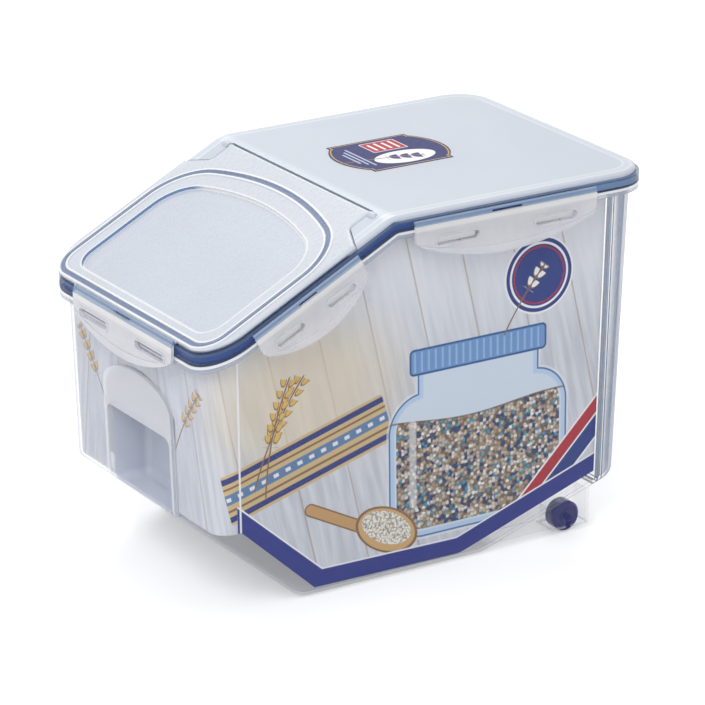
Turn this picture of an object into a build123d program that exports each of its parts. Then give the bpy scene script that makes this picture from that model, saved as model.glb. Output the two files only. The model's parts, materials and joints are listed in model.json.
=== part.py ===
from build123d import *
from math import atan, cos, radians, sin, tan
import os

# Rice bin with a flip lid. Millimetres, +Z up, front towards -Y.
# The origin is on the surface it stands on, under the middle of its box.

# ---- driving dimensions -------------------------------------------------

# Rim, seen from above
RIM_W = 212.0
RIM_L = 329.4
RIM_R = 27.5

# Rim line, seen from the side: level at the back, sloping down at the front
RIM_Z = 235.8
BEND_Y = -31.2
FRONT_RIM_Z = 167.7
BEND_R = 10.0

# Clear body under the rim
WALL = 2.2
DRAFT = 2.1
BODY_W = 183.0
BODY_FRONT_Y = -153.2
BODY_BACK_Y = 150.4
BODY_R = 14.0
CHAMFER_Y = -91.2
CHAMFER_TOP = (-155.4, 54.4)
RAMP_Y = 46.1
RAMP_TOP = (151.8, 35.7)
FLOOR_R = 14.0
FOOT_R = 6.0
EDGE_BELOW = 66.0

# Flange and sealing lip of the body, as heights from the rim line
FLANGE_LOW = -2.2
FLANGE_HIGH = -0.3
SKIRT_LOW = -4.4
SKIRT_T = 1.4
LIP_INSET = 5.6
LIP_HIGH = 2.9

# Grip recess in the front wall
GRIP_W = 80.0
GRIP_LOW = 49.0
GRIP_HIGH = 104.0
GRIP_BACK_Y = -126.0

# Wheels and their boxes under the ramp
WHEEL_R = 10.2
WHEEL_Y = 113.6
WHEEL_X = (76.0, 86.8)
STUB_R = 2.5
STUB_X = (71.4, 90.3)
STUB_CHAMFER = 0.8
HUB_R = 4.2
HUB_OUT = 0.8
TREAD_CHAMFER = 1.2
DISH_R = (4.6, 8.0)
DISH_DEPTH = 0.6
BOX_X = (70.8, 89.5)
BOX_Y = (50.0, 130.0)
BOX_LOW = 3.4
NOSE_LOW = 5.2
BOX_WALL = 1.6
BOX_RIB_Y = 100.6
RUNNING_GAP = 0.06

# Main lid, as heights from the rim line and insets from the rim's outline
LID_LOW = 0.0
LID_FLANGE = 6.2
LID_PLATE = 4.8
LID_TOP = 9.8
LID_SKIRT_T = 1.9
PANEL_INSET = 2.5
PANEL_EDGE_R = 2.4
CHANNEL_INSET = 10.2
INNER_SKIRT_INSET = 12.0
INNER_SKIRT_LOW = -4.0
PANEL_T = 2.0

# Main gasket: a channel of silicone that straddles the body's lip
GASKET_LOW = 0.5
GASKET_WEB = 3.3
GASKET_OUTER_LEG = 4.4
GASKET_INNER_LEG = 8.9
GASKET_GAP = 0.03

# Flip lid: down-slope distances from the bend, heights from the rim line
FLIP_INSET = 2.0
FLIP_FRONT_INSET = 0.8
FLIP_LOW = 7.0
FLIP_TOP = 10.6
FLIP_T = 1.8
FLIP_EDGE_R = 1.8
TONGUE_W = 168.0
TONGUE_GAP = 0.6
FLARE_S = (18.4, 29.0)
FLARE_R = 5.0
RIDGE_FACE_S = -0.8
HINGE_S = 2.6
HINGE_H = 8.55
HINGE_BEAD_R = 2.05
PIN_R = 1.6
PIN_LENGTH = 4.5
PIN_GAP = 0.05
BOSS_R = 2.9
BOSS_LENGTH = 5.6
BOSS_CONE = 1.2
RECESS_W = 167.0
RECESS_FRONT_S = 133.0
RECESS_BACK_S = 31.0
RECESS_DEPTH = 2.0
RECESS_CORNER_R = 14.0
RECESS_BACK_R = 30.0
OPENING_MARGIN = 2.4
PLUG_LOW = 2.2
PLUG_T = 1.6
PLUG_GAP = 2.0
SEAL_W = 195.0
SEAL_FRONT_S = 143.3
SEAL_BACK_S = 14.0
SEAL_T = 3.4
SEAL_LOW = 6.5
SEAL_RIB_T = 1.4
GROOVE_DEPTH = 0.6
RIDGE_W = 1.6
RIDGE_HIGH = 0.45
SEAL_CORNER_R = 18.0
SEAL_BACK_R = 42.0
ARCH_R = 229.0

# Latches: flaps on a living hinge, with two slots over the body's lugs
FLAP_T = 2.2
FLAP_CLEAR = 0.4
BEAD_R = 1.2
BEAD_GAP = 0.05
BEAD_END_GAP = 0.4
FLAP_END = 14.0
FLAP_MIDDLE = 28.5
FLAP_LIP_END = 13.6
FLAP_LIP_MIDDLE = 23.4
FLAP_LIP_T = 0.9
FLAP_CORNER_R = 6.0
NECK_LOW = 2.2
SLOT_DROP = 13.8
SLOT_H = 5.6
SLOT_FRAME_W = 1.3
SLOT_FRAME_T = 0.5
LUG_H = 3.4
LUG_SHORT = 0.45
LUG_ROOT = 8.4
LUG_END_GAP = 3.0
HINGE_SLOT_DROP = 1.3
HINGE_SLOT_H = 1.8
HINGE_SLOT_SHARE = 0.17
LATCH_H = 4.0
FRONT_LATCH_Z = 177.0
LEDGE_LOW = 1.0
LEDGE_HIGH = 2.4
LEDGE_DEPTH = 1.6

# Printed card that lines the front and the sides
CARD_T = 0.6
CARD_GAP = 0.5
CARD_TOP = -8.0
CARD_EDGE = [(-135.0, 54.5), (-81.0, 5.0), (27.0, 3.6), (132.0, 39.5)]
CARD_ARCH_REACH = 130.0
CARD_ARCH_W = 88.0
CARD_ARCH_Z = 118.0
CARD_ARCH_TOP = 138.0

# Label on the main lid
LABEL_T = 0.25
LABEL_W = 59.0
LABEL_L = 59.4
LABEL_BOW = 10.0
LABEL_STEP = 4.0
LABEL_X = -10.0
LABEL_Y = 37.5

# ---- derived geometry ---------------------------------------------------

SLOPE = atan((RIM_Z - FRONT_RIM_Z) / (BEND_Y + RIM_L / 2))
FAR = 260.0
TALL = 320.0
DRAFT_RATE = tan(radians(DRAFT))
BODY_L = BODY_BACK_Y - BODY_FRONT_Y
BODY_MID_Y = (BODY_BACK_Y + BODY_FRONT_Y) / 2


def on_slope(down, height):
    """(y, z) of a point given by its distance down the slope and above it."""
    y = BEND_Y - down * cos(SLOPE) - height * sin(SLOPE)
    z = RIM_Z - down * sin(SLOPE) + height * cos(SLOPE)
    return (y, z)


def bend_line(height):
    """The rim line raised by a height: far front, bend, far back."""
    mitre = BEND_Y - height * tan(SLOPE / 2)
    drop = (mitre + FAR) * tan(SLOPE)
    return [(-FAR, RIM_Z + height - drop), (mitre, RIM_Z + height), (FAR, RIM_Z + height)]


def rim_outline(inset):
    """The rim's plan, drawn smaller by an inset."""
    radius = max(RIM_R - inset, 3.0)
    RectangleRounded(RIM_W - 2 * inset, RIM_L - 2 * inset, radius)


def rim_layer(low, high, inset=0.0, hole=None):
    """A slab between two heights that follows the bend, cut to the rim's plan."""
    with BuildPart() as layer:
        with BuildSketch(Plane.YZ):
            with BuildLine():
                under = FilletPolyline(*bend_line(low), radius=BEND_R + low)
                over = FilletPolyline(*bend_line(high), radius=BEND_R + high)
                Line(under @ 0, over @ 0)
                Line(under @ 1, over @ 1)
            make_face()
        extrude(amount=RIM_W, both=True)
        with BuildSketch(Plane.XY):
            rim_outline(inset)
            if hole is not None:
                RectangleRounded(
                    RIM_W - 2 * hole, RIM_L - 2 * hole, max(RIM_R - hole, 3.0), mode=Mode.SUBTRACT
                )
        extrude(amount=TALL, mode=Mode.INTERSECT)
    return layer.part


def body_block(inset, top):
    """The body's drafted block, drawn in by an inset on its walls and floor."""
    with BuildPart() as block:
        with BuildSketch(Plane.XY):
            with Locations((0, BODY_MID_Y)):
                RectangleRounded(BODY_W - 2 * inset, BODY_L - 2 * inset, BODY_R - inset)
        extrude(amount=TALL, taper=-DRAFT)
        with BuildSketch(Plane.YZ):
            chamfer_rate = CHAMFER_TOP[1] / (CHAMFER_Y - CHAMFER_TOP[0])
            ramp_rate = RAMP_TOP[1] / (RAMP_TOP[0] - RAMP_Y)
            chamfer_shift = inset * tan(atan(chamfer_rate) / 2)
            ramp_shift = inset * tan(atan(ramp_rate) / 2)
            front_foot = CHAMFER_Y + chamfer_shift
            back_foot = RAMP_Y - ramp_shift
            with BuildLine():
                floor = FilletPolyline(
                    (-FAR, inset + (front_foot + FAR) * chamfer_rate),
                    (front_foot, inset),
                    (back_foot, inset),
                    (FAR, inset + (FAR - back_foot) * ramp_rate),
                    radius=FLOOR_R,
                )
                ceiling = FilletPolyline(*bend_line(top), radius=BEND_R + top)
                Line(floor @ 0, ceiling @ 0)
                Line(floor @ 1, ceiling @ 1)
            make_face()
        extrude(amount=RIM_W, both=True, mode=Mode.INTERSECT)
        foot_edges = block.edges().filter_by(lambda e: e.bounding_box().max.Z < EDGE_BELOW)
        fillet(foot_edges, FOOT_R - inset)
    return block.part


def slope_plane(down, height):
    """A plane on the slope: x across, y up the slope, z out of it."""
    y, z = on_slope(down, height)
    return Plane(origin=(0, y, z), x_dir=(1, 0, 0), z_dir=(0, -sin(SLOPE), cos(SLOPE)))


def arch_curve(width, front, back):
    """The D-shaped outline of the flip lid's opening, on a slope plane."""
    half = width / 2
    sag = ARCH_R - (ARCH_R**2 - half**2) ** 0.5
    with BuildLine() as curve:
        Line((-half, -front), (half, -front))
        Line((half, -front), (half, -back - sag))
        ThreePointArc((half, -back - sag), (0, -back), (-half, -back - sag))
        Line((-half, -back - sag), (-half, -front))
    return curve.line


def arch_block(width, front, back, front_r, back_r, low, high):
    """A block of the D-shaped outline between two heights on the slope."""
    with BuildPart() as block:
        with BuildSketch(slope_plane(0, low)) as outline:
            make_face(arch_curve(width, front, back))
            fillet(outline.vertices().sort_by(Axis.Y)[:2], front_r)
            fillet(outline.vertices().sort_by(Axis.Y)[-2:], back_r)
        extrude(amount=high - low)
    return block.part


def slope_height(point):
    """How far a point stands off the sloping rim line."""
    return (point.Z - RIM_Z) * cos(SLOPE) - (point.Y - BEND_Y) * sin(SLOPE)


def flared_outline(start, grow):
    """The flip lid's plan on the slope: a tongue at the hinge that flares out."""
    half = TONGUE_W / 2
    flare = atan((FLARE_S[1] - FLARE_S[0]) / (RIM_W / 2 - half))
    corner_s = FLARE_S[0] - grow * (1 / cos(flare) - tan(flare))
    far_s = FLARE_S[1] - grow / cos(flare) + (FAR - RIM_W / 2) * tan(flare)
    with BuildLine() as curve:
        right_side = FilletPolyline(
            (half + grow, -start), (half + grow, -corner_s), (FAR, -far_s), radius=FLARE_R - grow
        )
        left_side = mirror(right_side, about=Plane.YZ)
        Line(right_side @ 0, left_side @ 0)
        Polyline(right_side @ 1, (FAR, -2 * FAR), (-FAR, -2 * FAR), left_side @ 1)
    return curve.line


def flip_block(low, high, inset):
    """The flip lid's block between two heights, drawn in by an inset."""
    width = RIM_W - 2 * (FLIP_INSET + inset)
    front_y = -(RIM_L / 2 - FLIP_FRONT_INSET - inset)
    with BuildPart() as block:
        with BuildSketch(slope_plane(0, low)):
            make_face(flared_outline(HINGE_S, -inset))
        extrude(amount=high - low)
        with BuildSketch(Plane.XY):
            with Locations((0, front_y + FAR)):
                RectangleRounded(width, 2 * FAR, RIM_R - FLIP_INSET - inset)
        extrude(amount=TALL, mode=Mode.INTERSECT)
    return block.part


def latch_plane(side, along, centre):
    """A latch's own plane: x along its hinge, y up its flap, z outwards."""
    return Plane(origin=centre, x_dir=along, z_dir=side)


def latch_end(plane, length):
    """The plane across a latch's hinge, just past its end."""
    start = plane.origin - plane.x_dir * (length / 2 + BEAD_END_GAP)
    return Plane(origin=start, x_dir=plane.z_dir, z_dir=plane.x_dir)


def flap_curve(length, end, middle):
    """An outline as long as a flap, straight at the hinge and bowed below."""
    half = length / 2
    with BuildLine() as curve:
        Line((-half, 0), (half, 0))
        Line((half, 0), (half, -end))
        ThreePointArc((half, -end), (0, -middle), (-half, -end))
        Line((-half, -end), (-half, 0))
    return curve.line


def neck_profile():
    """Outward and up: the wedge by which the flap runs into its hinge bead."""
    low = -(BEAD_R + NECK_LOW)
    return [(0, low), (FLAP_T, low), (FLAP_T, -NECK_LOW), (BEAD_R, -0.2), (0, -0.2)]


def build_latch(plane, length, slot_length, slot_offset):
    """One latch: the bead of its living hinge, its flap, slots and finger lip."""
    across = Plane(origin=plane.origin, x_dir=plane.z_dir, z_dir=-plane.x_dir)
    with BuildPart() as latch:
        with BuildSketch(plane) as outline:
            make_face(flap_curve(length, FLAP_END, FLAP_MIDDLE))
            fillet(outline.vertices().sort_by(Axis.Y)[:2], FLAP_CORNER_R)
        extrude(amount=FLAP_T)
        with BuildSketch(plane.offset(FLAP_T)) as finger_lip:
            make_face(flap_curve(length, FLAP_END, FLAP_MIDDLE))
            fillet(finger_lip.vertices().sort_by(Axis.Y)[:2], FLAP_CORNER_R)
            make_face(flap_curve(length, FLAP_LIP_END, FLAP_LIP_MIDDLE), mode=Mode.SUBTRACT)
        extrude(amount=FLAP_LIP_T)
        with BuildSketch(plane.offset(FLAP_T)):
            with Locations((-slot_offset, -SLOT_DROP), (slot_offset, -SLOT_DROP)):
                SlotOverall(slot_length + 2 * SLOT_FRAME_W, SLOT_H + 2 * SLOT_FRAME_W)
        extrude(amount=SLOT_FRAME_T)
        with BuildSketch(across.offset(-length)):
            Rectangle(4 * FLAP_T, 2 * (BEAD_R + NECK_LOW))
            Polygon(*neck_profile(), align=None, mode=Mode.SUBTRACT)
        extrude(amount=2 * length, mode=Mode.SUBTRACT)
        with BuildSketch(across.offset(-length / 2)):
            Circle(BEAD_R)
        extrude(amount=length)
        with BuildSketch(plane):
            with Locations((-slot_offset, -SLOT_DROP), (slot_offset, -SLOT_DROP)):
                SlotOverall(slot_length, SLOT_H)
            with Locations((0, -HINGE_SLOT_DROP)):
                SlotOverall(HINGE_SLOT_SHARE * length, HINGE_SLOT_H)
        extrude(amount=2 * FLAP_T, both=True, mode=Mode.SUBTRACT)
    return latch.part


# ---- latch places -------------------------------------------------------

HALF_W = RIM_W / 2
HALF_L = RIM_L / 2
RIGHT, LEFT = (1, 0, 0), (-1, 0, 0)
SIDE_X = HALF_W + FLAP_CLEAR
UPPER_Y = 49.0
LOWER_S = 72.0
UP_SLOPE = (0, cos(SLOPE), sin(SLOPE))
DOWN_SLOPE = (0, -cos(SLOPE), -sin(SLOPE))
LOWER_YZ = on_slope(LOWER_S, LATCH_H)

# name: plane, length, slot length, slot offset
LATCHES = {
    "upper_right_latch": (
        latch_plane(RIGHT, (0, 1, 0), (SIDE_X, UPPER_Y, RIM_Z + LATCH_H)), 136, 32, 37),
    "upper_left_latch": (
        latch_plane(LEFT, (0, -1, 0), (-SIDE_X, UPPER_Y, RIM_Z + LATCH_H)), 136, 32, 37),
    "lower_right_latch": (
        latch_plane(RIGHT, UP_SLOPE, (SIDE_X, *LOWER_YZ)), 84, 22, 20.5),
    "lower_left_latch": (
        latch_plane(LEFT, DOWN_SLOPE, (-SIDE_X, *LOWER_YZ)), 84, 22, 20.5),
    "rear_latch": (
        latch_plane((0, 1, 0), (-1, 0, 0), (0, HALF_L + FLAP_CLEAR, RIM_Z + LATCH_H)),
        125, 36, 35.5),
    "front_latch": (
        latch_plane((0, -1, 0), (1, 0, 0), (0, -HALF_L - FLAP_CLEAR, FRONT_LATCH_Z)),
        125, 36, 35.5),
}

os.makedirs("parts", exist_ok=True)

# ---- tools shared by the body and the lids --------------------------------

body_outer = body_block(0.0, FLANGE_HIGH)
body_cavity = body_block(WALL, 30.0)
flange = rim_layer(FLANGE_LOW, FLANGE_HIGH, 0.0, LIP_INSET + WALL)
flange_skirt = rim_layer(SKIRT_LOW, FLANGE_HIGH, 0.0, SKIRT_T)
lip = rim_layer(FLANGE_LOW, LIP_HIGH, LIP_INSET, LIP_INSET + WALL)

# ---- wheel boxes under the ramp -------------------------------------------

with BuildPart() as wheel_boxes:
    mid_x = (BOX_X[0] + BOX_X[1]) / 2
    mid_y = (BOX_Y[0] + BOX_Y[1]) / 2
    box_w = BOX_X[1] - BOX_X[0]
    box_l = BOX_Y[1] - BOX_Y[0]
    box_top = 30.0
    with BuildSketch(Plane.XY.offset(BOX_LOW)):
        with Locations((mid_x, mid_y)):
            Rectangle(box_w, box_l)
    extrude(amount=box_top - BOX_LOW)
    fillet(wheel_boxes.edges().filter_by(Axis.Z).group_by(Axis.Y)[-1], 2.0)
    with BuildSketch(Plane.XY.offset(BOX_LOW)):
        bay_front = BOX_RIB_Y + BOX_WALL
        bay_back = BOX_Y[1] - BOX_WALL
        nose_front = BOX_Y[0] + BOX_WALL
        with Locations((mid_x, (bay_front + bay_back) / 2)):
            Rectangle(box_w - 2 * BOX_WALL, bay_back - bay_front)
        with Locations((mid_x, (nose_front + BOX_RIB_Y) / 2)):
            Rectangle(box_w - 2 * BOX_WALL, BOX_RIB_Y - nose_front)
    extrude(amount=box_top - BOX_LOW, mode=Mode.SUBTRACT)
    with BuildSketch(Plane.XY.offset(BOX_LOW)):
        with Locations((mid_x, BOX_RIB_Y)):
            Rectangle(box_w, box_l, align=(Align.CENTER, Align.MAX))
    extrude(amount=NOSE_LOW - BOX_LOW, mode=Mode.SUBTRACT)
    with BuildSketch(Plane.YZ):
        with Locations((WHEEL_Y, WHEEL_R)):
            Circle(STUB_R + RUNNING_GAP)
        with Locations((WHEEL_Y, WHEEL_R / 2)):
            Rectangle(2 * (STUB_R - 0.25), WHEEL_R)
    extrude(amount=RIM_W, mode=Mode.SUBTRACT)
    mirror(about=Plane.YZ)

# ---- the grip recess, as an outer pocket and the hole inside it -------------


def grip_block(grow):
    """The pocket's block: a rounded opening that narrows a little inwards."""
    front_y = -FAR
    depth = GRIP_BACK_Y + grow - front_y
    width = GRIP_W + 2 * grow
    height = GRIP_HIGH - GRIP_LOW + 2 * grow
    middle = (GRIP_HIGH + GRIP_LOW) / 2
    facing_back = Plane(origin=(0, front_y, middle), x_dir=(-1, 0, 0), z_dir=(0, 1, 0))
    with BuildPart() as block:
        with BuildSketch(facing_back):
            RectangleRounded(width, height, 6.0 + grow)
        extrude(amount=depth)
        back = block.edges().group_by(Axis.Y)[-1]
        fillet(back, 5.0 + grow)
    return block.part


grip_outer = grip_block(WALL)
grip_hole = grip_block(0.0)

# ---- container --------------------------------------------------------------

with BuildPart() as grip_pocket:
    add(grip_outer)
    add(body_outer, mode=Mode.INTERSECT)

with BuildPart() as container:
    add(body_outer)
    add(wheel_boxes.part)
    add(flange)
    add(flange_skirt)
    add(lip)
    for plane, length, slot_length, slot_offset in LATCHES.values():
        with BuildSketch(plane.offset(-LUG_ROOT)):
            with Locations((-slot_offset, -SLOT_DROP), (slot_offset, -SLOT_DROP)):
                SlotOverall(slot_length - LUG_END_GAP, LUG_H)
        extrude(amount=LUG_ROOT - LUG_SHORT)
    add(body_cavity, mode=Mode.SUBTRACT)
    add(grip_pocket.part)
    add(grip_hole, mode=Mode.SUBTRACT)
container.part.label = "container"
export_step(container.part, "parts/container.step")

# ---- wheels: one piece each, with stub axles that snap into the box walls ----

with BuildPart() as right_wheel:
    inner_x, outer_x = WHEEL_X
    with BuildSketch(Plane.XZ.offset(-WHEEL_Y)):
        with BuildLine():
            Polyline(
                (STUB_X[0], WHEEL_R),
                (STUB_X[0], WHEEL_R + STUB_R),
                (inner_x - HUB_OUT, WHEEL_R + STUB_R),
                (inner_x - HUB_OUT, WHEEL_R + HUB_R),
                (inner_x, WHEEL_R + HUB_R),
                (inner_x, 2 * WHEEL_R - TREAD_CHAMFER),
                (inner_x + TREAD_CHAMFER, 2 * WHEEL_R),
                (outer_x - TREAD_CHAMFER, 2 * WHEEL_R),
                (outer_x, 2 * WHEEL_R - TREAD_CHAMFER),
                (outer_x, WHEEL_R + DISH_R[1]),
                (outer_x - DISH_DEPTH, WHEEL_R + DISH_R[1] - DISH_DEPTH),
                (outer_x - DISH_DEPTH, WHEEL_R + DISH_R[0] + DISH_DEPTH),
                (outer_x, WHEEL_R + DISH_R[0]),
                (outer_x + HUB_OUT, WHEEL_R + DISH_R[0]),
                (outer_x + HUB_OUT, WHEEL_R + STUB_R),
                (STUB_X[1] - STUB_CHAMFER, WHEEL_R + STUB_R),
                (STUB_X[1], WHEEL_R + STUB_R - STUB_CHAMFER),
                (STUB_X[1], WHEEL_R),
                close=True,
            )
        make_face()
    revolve(axis=Axis((0, WHEEL_Y, WHEEL_R), (1, 0, 0)))
right_wheel.part.label = "right_wheel"
export_step(right_wheel.part, "parts/right_wheel.step")

with BuildPart() as left_wheel:
    add(mirror(right_wheel.part, about=Plane.YZ))
left_wheel.part.label = "left_wheel"
export_step(left_wheel.part, "parts/left_wheel.step")

# ---- printed card inside the front and side walls -----------------------------

card_outer = body_block(WALL + CARD_GAP, CARD_TOP)
card_inner = body_block(WALL + CARD_GAP + CARD_T, CARD_TOP + 20.0)
with BuildPart() as insert_card:
    add(card_outer)
    add(card_inner, mode=Mode.SUBTRACT)
    with BuildSketch(Plane.YZ):
        with BuildLine():
            card_front, card_back = CARD_EDGE[0], CARD_EDGE[-1]
            Polyline(
                (-FAR, card_front[1]), *CARD_EDGE, (card_back[0], TALL), (-FAR, TALL), close=True
            )
        make_face()
    extrude(amount=RIM_W, both=True, mode=Mode.INTERSECT)
    with BuildSketch(Plane.XZ.offset(CARD_ARCH_REACH)):
        with BuildLine():
            half = CARD_ARCH_W / 2
            Line((-half, 0), (half, 0))
            Line((half, 0), (half, CARD_ARCH_Z))
            ThreePointArc((half, CARD_ARCH_Z), (0, CARD_ARCH_TOP), (-half, CARD_ARCH_Z))
            Line((-half, CARD_ARCH_Z), (-half, 0))
        make_face()
    extrude(amount=FAR, mode=Mode.SUBTRACT)
insert_card.part.label = "insert_card"
export_step(insert_card.part, "parts/insert_card.step")

# ---- main gasket ---------------------------------------------------------------

gasket_out = LID_SKIRT_T + GASKET_GAP
gasket_in = CHANNEL_INSET - GASKET_GAP
gasket_web = rim_layer(GASKET_WEB, LID_PLATE - GASKET_GAP, gasket_out, gasket_in)
gasket_outer_leg = rim_layer(GASKET_LOW, GASKET_WEB, gasket_out, GASKET_OUTER_LEG)
gasket_inner_leg = rim_layer(GASKET_LOW, GASKET_WEB, GASKET_INNER_LEG, gasket_in)
with BuildPart() as main_gasket:
    add(gasket_web)
    add(gasket_outer_leg)
    add(gasket_inner_leg)
main_gasket.part.label = "main_gasket"
export_step(main_gasket.part, "parts/main_gasket.step")

# ---- main lid ------------------------------------------------------------------

lid_skirt = rim_layer(LID_LOW, LID_FLANGE, 0.0, LID_SKIRT_T)
lid_plate = rim_layer(LID_PLATE, LID_FLANGE, 0.0)
lid_inner_skirt = rim_layer(INNER_SKIRT_LOW, LID_FLANGE, CHANNEL_INSET, INNER_SKIRT_INSET)
lid_panel = rim_layer(LID_PLATE, LID_TOP, PANEL_INSET)
lid_hollow = rim_layer(INNER_SKIRT_LOW - 1, LID_TOP - PANEL_T, INNER_SKIRT_INSET)
flip_opening = arch_block(
    RECESS_W + 2 * OPENING_MARGIN, RECESS_FRONT_S + OPENING_MARGIN,
    RECESS_BACK_S - OPENING_MARGIN, RECESS_CORNER_R + OPENING_MARGIN,
    RECESS_BACK_R + OPENING_MARGIN, -30.0, 30.0,
)
slope_floor = slope_plane(0, LID_FLANGE)
hinge_y, hinge_z = on_slope(HINGE_S, HINGE_H)

with BuildPart() as raised_panel:
    add(lid_panel)
    with BuildSketch(slope_floor):
        make_face(flared_outline(RIDGE_FACE_S, TONGUE_GAP))
    extrude(amount=FAR, mode=Mode.SUBTRACT)
    top_edges = raised_panel.edges().filter_by(
        lambda e: abs(e.center().Z - (RIM_Z + LID_TOP)) < 0.05 and e.center().Y > BEND_Y + 15
    )
    fillet(top_edges, PANEL_EDGE_R)

with BuildPart() as main_lid:
    add(lid_skirt)
    add(lid_plate)
    add(raised_panel.part)
    add(lid_hollow, mode=Mode.SUBTRACT)
    with BuildSketch(slope_plane(0, LID_PLATE)):
        with Locations((0, -RIDGE_FACE_S)):
            Rectangle(RIM_W - 2 * INNER_SKIRT_INSET + 2, FAR / 2, align=(Align.CENTER, Align.MAX))
    extrude(amount=LID_FLANGE - LID_PLATE)
    add(lid_inner_skirt)
    add(flip_opening, mode=Mode.SUBTRACT)
    boss_start = TONGUE_W / 2 + TONGUE_GAP
    for side in (-1, 1):
        with BuildSketch(Plane.YZ.offset(side * boss_start)):
            with Locations((hinge_y, hinge_z)):
                Circle(BOSS_R)
        extrude(amount=side * BOSS_LENGTH)
        with BuildSketch(Plane.YZ.offset(side * (boss_start + BOSS_LENGTH))):
            with Locations((hinge_y, hinge_z)):
                Circle(BOSS_R)
        extrude(amount=side * BOSS_CONE, taper=45)
        with BuildSketch(Plane.YZ.offset(side * (boss_start - 1.0))):
            with Locations((hinge_y, hinge_z)):
                Circle(PIN_R + PIN_GAP)
        extrude(amount=side * (PIN_LENGTH + 1.5), mode=Mode.SUBTRACT)
    for name, (plane, length, slot_length, slot_offset) in LATCHES.items():
        if name != "front_latch":
            with BuildSketch(latch_end(plane, length)):
                Circle(BEAD_R + BEAD_GAP)
            extrude(amount=length + 2 * BEAD_END_GAP, mode=Mode.SUBTRACT)
main_lid.part.label = "main_lid"
export_step(main_lid.part, "parts/main_lid.step")

with BuildPart() as lid_label:
    with BuildSketch(Plane.XY.offset(RIM_Z + LID_TOP)):
        with BuildLine():
            right, left = LABEL_X + LABEL_W / 2, LABEL_X - LABEL_W / 2
            back, front = LABEL_Y + LABEL_L / 2, LABEL_Y - LABEL_L / 2
            Line((right, front), (right, back))
            Line((right, back), (right - LABEL_STEP, back))
            ThreePointArc(
                (right - LABEL_STEP, back), (LABEL_X, back + LABEL_BOW), (left + LABEL_STEP, back)
            )
            Line((left + LABEL_STEP, back), (left, back))
            Line((left, back), (left, front))
            Line((left, front), (left + LABEL_STEP, front))
            ThreePointArc(
                (left + LABEL_STEP, front), (LABEL_X, front - LABEL_BOW), (right - LABEL_STEP, front)
            )
            Line((right - LABEL_STEP, front), (right, front))
        make_face()
    extrude(amount=LABEL_T)
lid_label.part.label = "lid_label"
export_step(lid_label.part, "parts/lid_label.step")

# ---- flip lid and its seal --------------------------------------------------------

flip_shell = flip_block(FLIP_LOW, FLIP_TOP, 0.0)
flip_room = flip_block(FLIP_LOW - 1, FLIP_TOP - FLIP_T, FLIP_T)
recess = arch_block(
    RECESS_W, RECESS_FRONT_S, RECESS_BACK_S, RECESS_CORNER_R, RECESS_BACK_R,
    FLIP_TOP - RECESS_DEPTH, FLIP_TOP + 5,
)
recess_wall = arch_block(
    RECESS_W + 2 * FLIP_T, RECESS_FRONT_S + FLIP_T, RECESS_BACK_S - FLIP_T,
    RECESS_CORNER_R + FLIP_T, RECESS_BACK_R + FLIP_T,
    FLIP_TOP - RECESS_DEPTH - FLIP_T, FLIP_TOP - FLIP_T / 2,
)
plug_margin = OPENING_MARGIN - PLUG_GAP
plug_outer = arch_block(
    RECESS_W + 2 * plug_margin, RECESS_FRONT_S + plug_margin, RECESS_BACK_S - plug_margin,
    RECESS_CORNER_R + plug_margin, RECESS_BACK_R + plug_margin,
    PLUG_LOW, FLIP_TOP - RECESS_DEPTH - FLIP_T / 2,
)
plug_inner = arch_block(
    RECESS_W + 2 * (plug_margin - PLUG_T), RECESS_FRONT_S + plug_margin - PLUG_T,
    RECESS_BACK_S - plug_margin + PLUG_T,
    RECESS_CORNER_R + plug_margin - PLUG_T, RECESS_BACK_R + plug_margin - PLUG_T,
    PLUG_LOW - 1, FLIP_TOP - RECESS_DEPTH - FLIP_T,
)


def seal_block(grow, low, high):
    """A block inside the seal's outline, grown outwards."""
    return arch_block(
        SEAL_W + 2 * grow, SEAL_FRONT_S + grow, SEAL_BACK_S - grow,
        SEAL_CORNER_R + grow, SEAL_BACK_R + grow, low, high,
    )


with BuildPart() as seal_ribs:
    add(seal_block(SEAL_RIB_T, FLIP_LOW, FLIP_TOP - FLIP_T))
    add(seal_block(-SEAL_T - SEAL_RIB_T, FLIP_LOW - 1, FLIP_TOP), mode=Mode.SUBTRACT)
    add(flip_shell, mode=Mode.INTERSECT)

with BuildPart() as top_ridges:
    ridge_top = FLIP_TOP + RIDGE_HIGH
    add(seal_block(RIDGE_W, FLIP_TOP - RIDGE_W, ridge_top))
    add(seal_block(-SEAL_T - RIDGE_W, FLIP_TOP - FLIP_T, ridge_top + 1), mode=Mode.SUBTRACT)

with BuildPart() as top_groove:
    add(seal_block(0.0, FLIP_TOP - GROOVE_DEPTH, ridge_top + 1))
    add(seal_block(-SEAL_T, FLIP_TOP - FLIP_T, ridge_top + 2), mode=Mode.SUBTRACT)

with BuildPart() as flip_gasket:
    add(seal_block(0.0, SEAL_LOW, FLIP_TOP - FLIP_T))
    add(seal_block(-SEAL_T, SEAL_LOW - 1, FLIP_TOP), mode=Mode.SUBTRACT)
flip_gasket.part.label = "flip_gasket"
export_step(flip_gasket.part, "parts/flip_gasket.step")

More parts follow.
